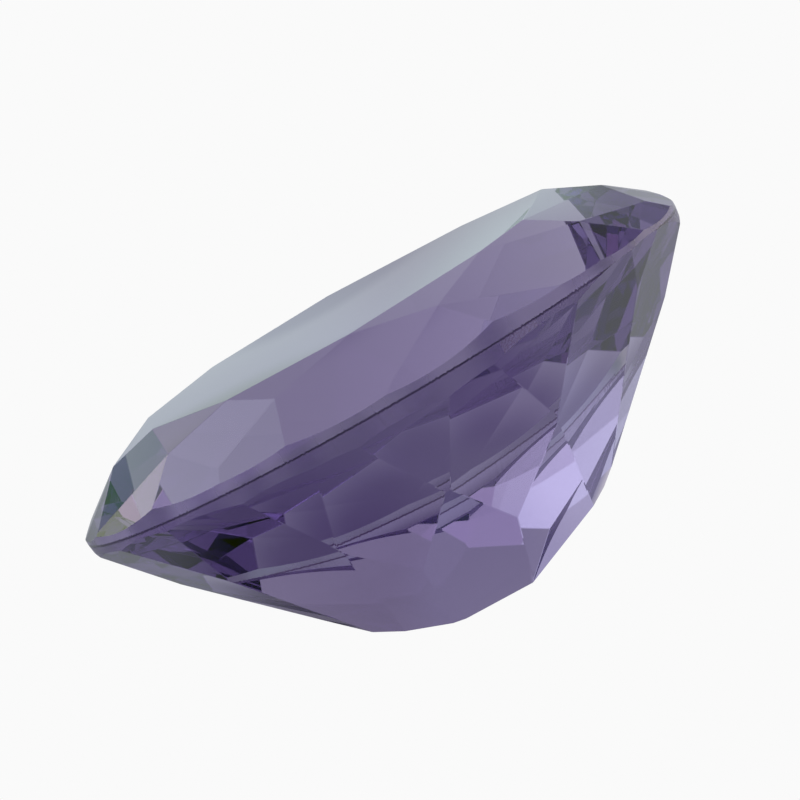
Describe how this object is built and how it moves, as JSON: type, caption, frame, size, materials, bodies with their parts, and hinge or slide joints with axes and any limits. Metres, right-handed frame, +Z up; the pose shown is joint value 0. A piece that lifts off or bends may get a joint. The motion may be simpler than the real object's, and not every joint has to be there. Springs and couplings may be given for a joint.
{
  "type": "faceted oval scapolite gemstone",
  "caption": "Loose cut gemstone: a transparent lavender-purple oval with a flat table, faceted crown, frosted girdle and deep pavilion, lying on a pavilion facet",
  "frame": {"origin": "on the surface the stone rests on, under the middle of its bounding box", "axes": "+X along the stone's length, +Z up from the surface, -Y toward the side that the picture shows"},
  "size_m": [0.01, 0.0064, 0.0057],
  "materials": {
    "scapolite": "polished lavender-purple scapolite, clear, with a fine-ground frosted girdle"
  },
  "bodies": {
    "root": {"scapolite_gem": "scapolite"}
  },
  "joints": []
}
